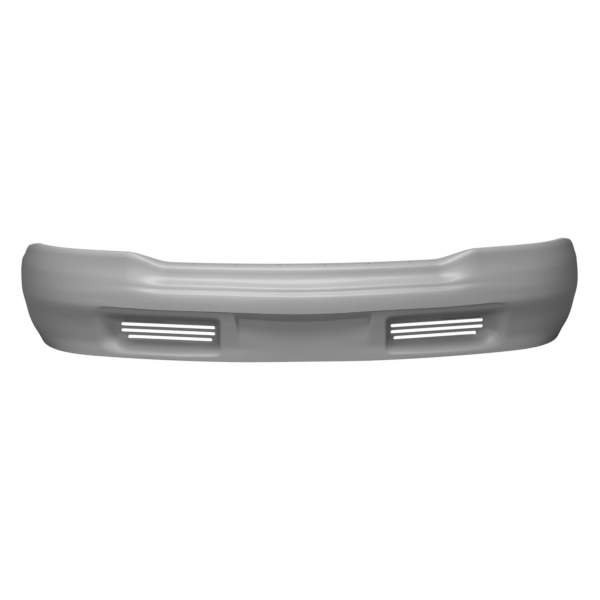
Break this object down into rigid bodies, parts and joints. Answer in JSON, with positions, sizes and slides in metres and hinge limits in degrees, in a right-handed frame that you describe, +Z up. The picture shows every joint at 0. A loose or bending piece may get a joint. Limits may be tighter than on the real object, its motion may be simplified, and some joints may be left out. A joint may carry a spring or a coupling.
{
  "type": "bumper cover",
  "caption": "Moulded front bumper cover with a number-plate recess, slotted air pockets and raised ends, with its steel mounting strips, brackets and clips.",
  "frame": {"origin": "middle of the footprint: on the mid-plane, halfway between the nose and the rear corners, level with the lower edge", "axes": "+X towards the vehicle's left (the viewer's right from in front), -Y towards the front of the vehicle, +Z up"},
  "size_m": [1.7808, 0.515, 0.3206],
  "materials": {
    "primed_plastic": "grey primer, satin",
    "black_steel": "black dip coat, satin",
    "spring_steel": "dark phosphate",
    "zinc_steel": "zinc plated"
  },
  "bodies": {
    "root": {"fascia_skin": "primed_plastic", "upper_retainer_strip": "black_steel", "upper_strip_push_nuts": "spring_steel", "lower_reinforcement_strip": "black_steel", "lower_strip_push_nuts": "spring_steel", "lower_spring_nuts": "zinc_steel", "side_bracket_left": "black_steel", "side_bracket_right": "black_steel", "side_bracket_push_nuts_left": "spring_steel", "side_bracket_push_nuts_right": "spring_steel", "side_bracket_studs_left": "zinc_steel", "side_bracket_studs_right": "zinc_steel", "wheel_flange_spring_nuts_left": "zinc_steel", "wheel_flange_spring_nuts_right": "zinc_steel"}
  },
  "joints": []
}
